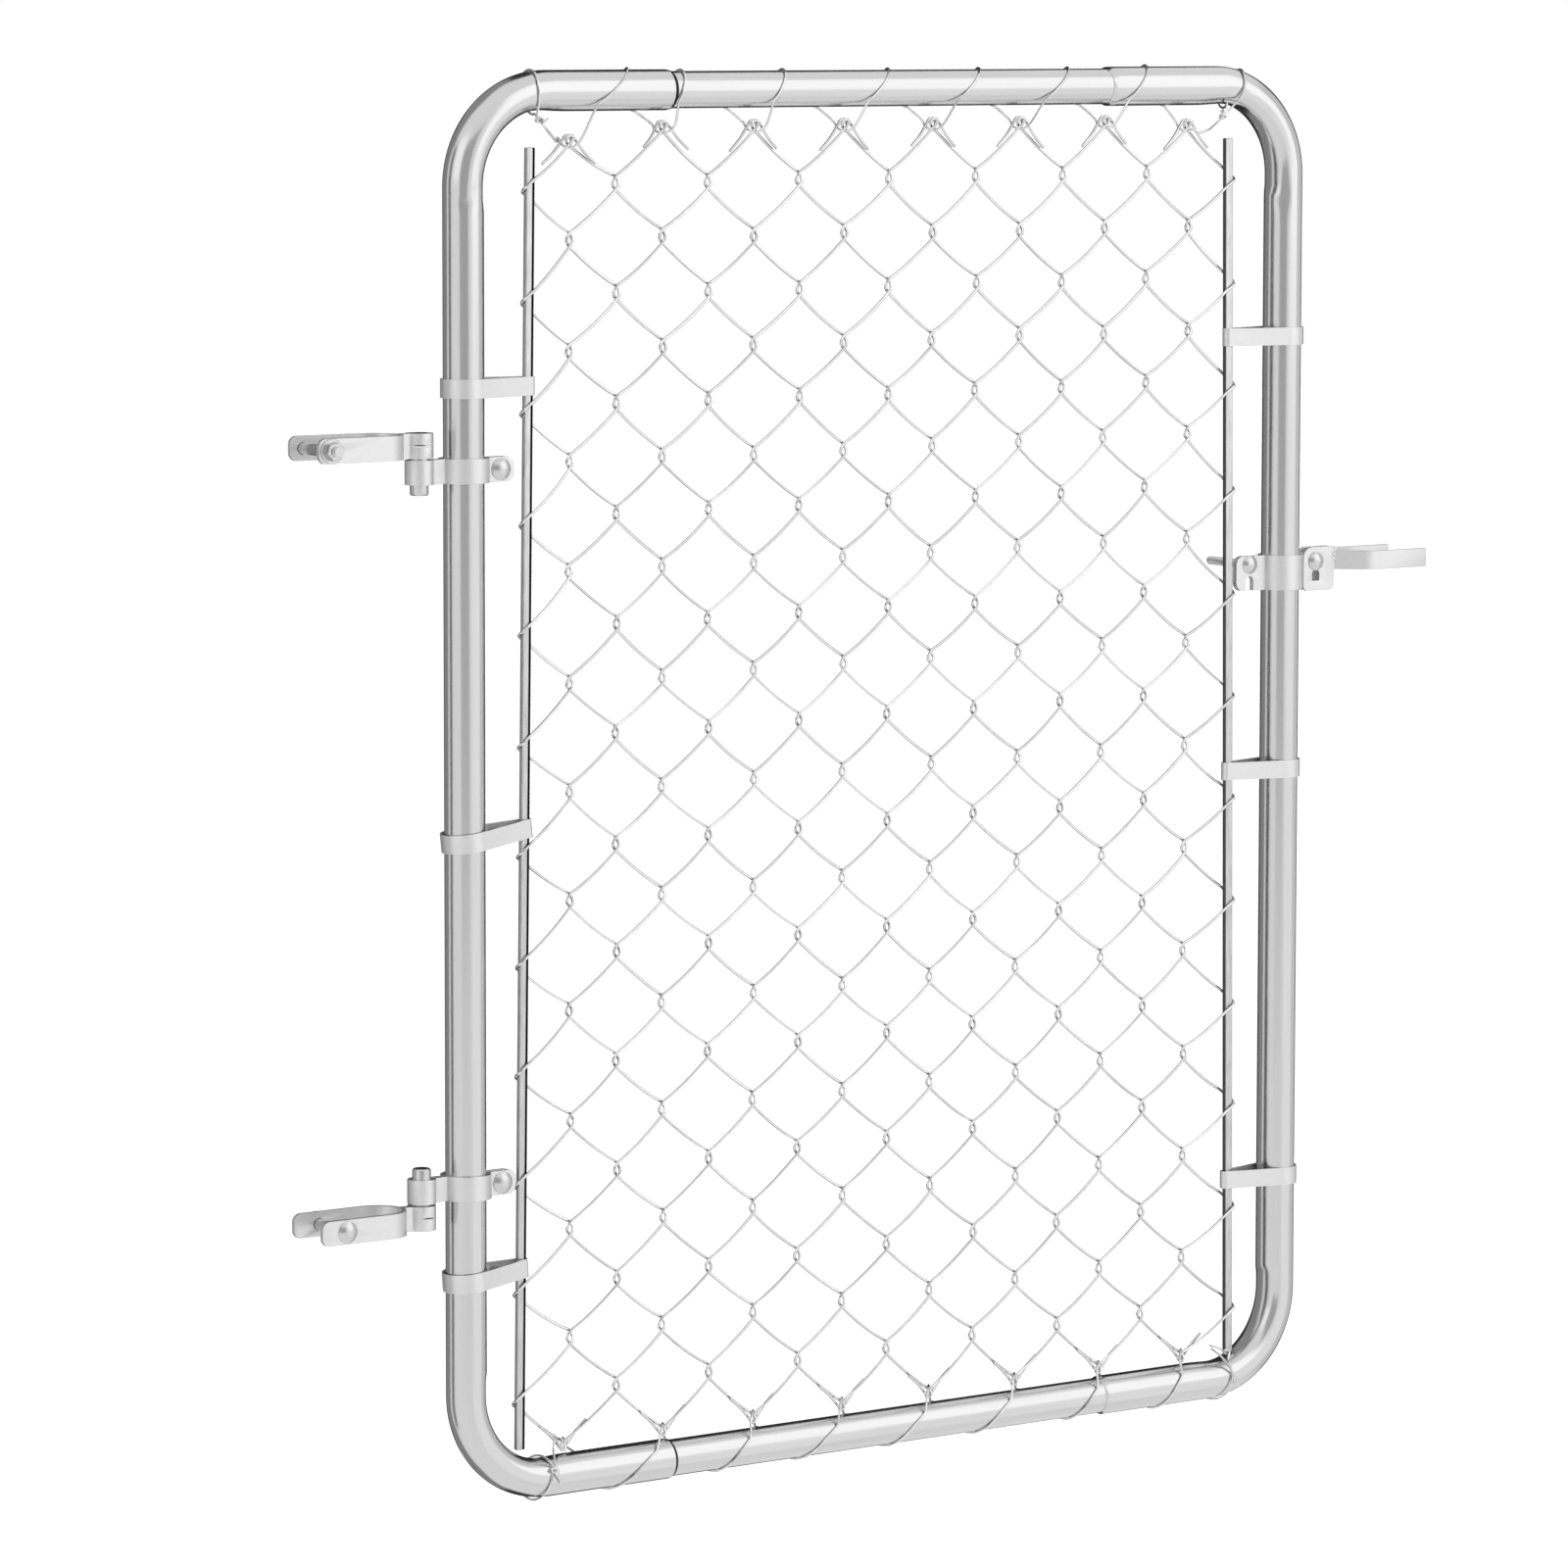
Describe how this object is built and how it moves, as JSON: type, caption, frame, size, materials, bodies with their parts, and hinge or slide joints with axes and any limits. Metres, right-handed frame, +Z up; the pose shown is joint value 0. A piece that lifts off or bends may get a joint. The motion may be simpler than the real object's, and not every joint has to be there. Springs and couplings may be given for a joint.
{
  "type": "chain link walk gate",
  "caption": "Chain link walk gate leaf: bent tube frame with woven wire fabric, tension bars and bands, two post hinges and a swinging fork latch.",
  "frame": {"origin": "on the inner face of the lower post hinge's front leg, which lies against the post, level with the middle of that hinge's strap", "axes": "+X runs from the hinges to the latch, +Y to the back of the gate, +Z up"},
  "size_m": [1.1855, 0.1116, 1.2287],
  "materials": {
    "tube": "galvanised, satin",
    "bar": "galvanised, satin",
    "strap": "pressed steel, galvanised",
    "bolt": "zinc plated",
    "wire": "drawn wire, galvanised, bright"
  },
  "bodies": {
    "post_hinges": {"upper_post_hinge": "strap", "lower_post_hinge": "strap", "upper_hinge_pin": "bolt", "lower_hinge_pin": "bolt", "upper_post_bolt": "bolt", "lower_post_bolt": "bolt", "upper_post_nut": "bolt", "lower_post_nut": "bolt"},
    "leaf": {"left_side_tube": "tube", "right_side_tube": "tube", "top_rail": "tube", "bottom_rail": "tube", "left_tension_bar": "bar", "right_tension_bar": "bar", "left_band_top": "strap", "left_band_middle": "strap", "left_band_bottom": "strap", "right_band_top": "strap", "right_band_middle": "strap", "right_band_bottom": "strap", "left_band_bolts": "bolt", "right_band_bolts": "bolt", "chain_link_fabric": "wire", "top_tie_wire": "wire", "bottom_tie_wire": "wire", "upper_frame_hinge": "strap", "lower_frame_hinge": "strap", "upper_frame_bolt": "bolt", "lower_frame_bolt": "bolt", "upper_frame_nut": "bolt", "lower_frame_nut": "bolt", "latch_front_collar": "strap", "latch_back_collar": "strap", "latch_collar_bolt": "bolt", "latch_pivot_bolt": "bolt", "latch_nuts": "bolt"},
    "fork": {"latch_fork": "strap"}
  },
  "joints": [
    {"name": "gate_swing", "type": "hinge", "parent": "post_hinges", "child": "leaf", "pos_m": [0.0565, 0.02115, 0], "axis": [0, 0, 1], "range_deg": [-90, 90]},
    {"name": "latch_lift", "type": "hinge", "parent": "leaf", "child": "fork", "pos_m": [1.0175, 0.02115, 0.5115], "axis": [0, -1, 0], "range_deg": [0, 100]}
  ]
}
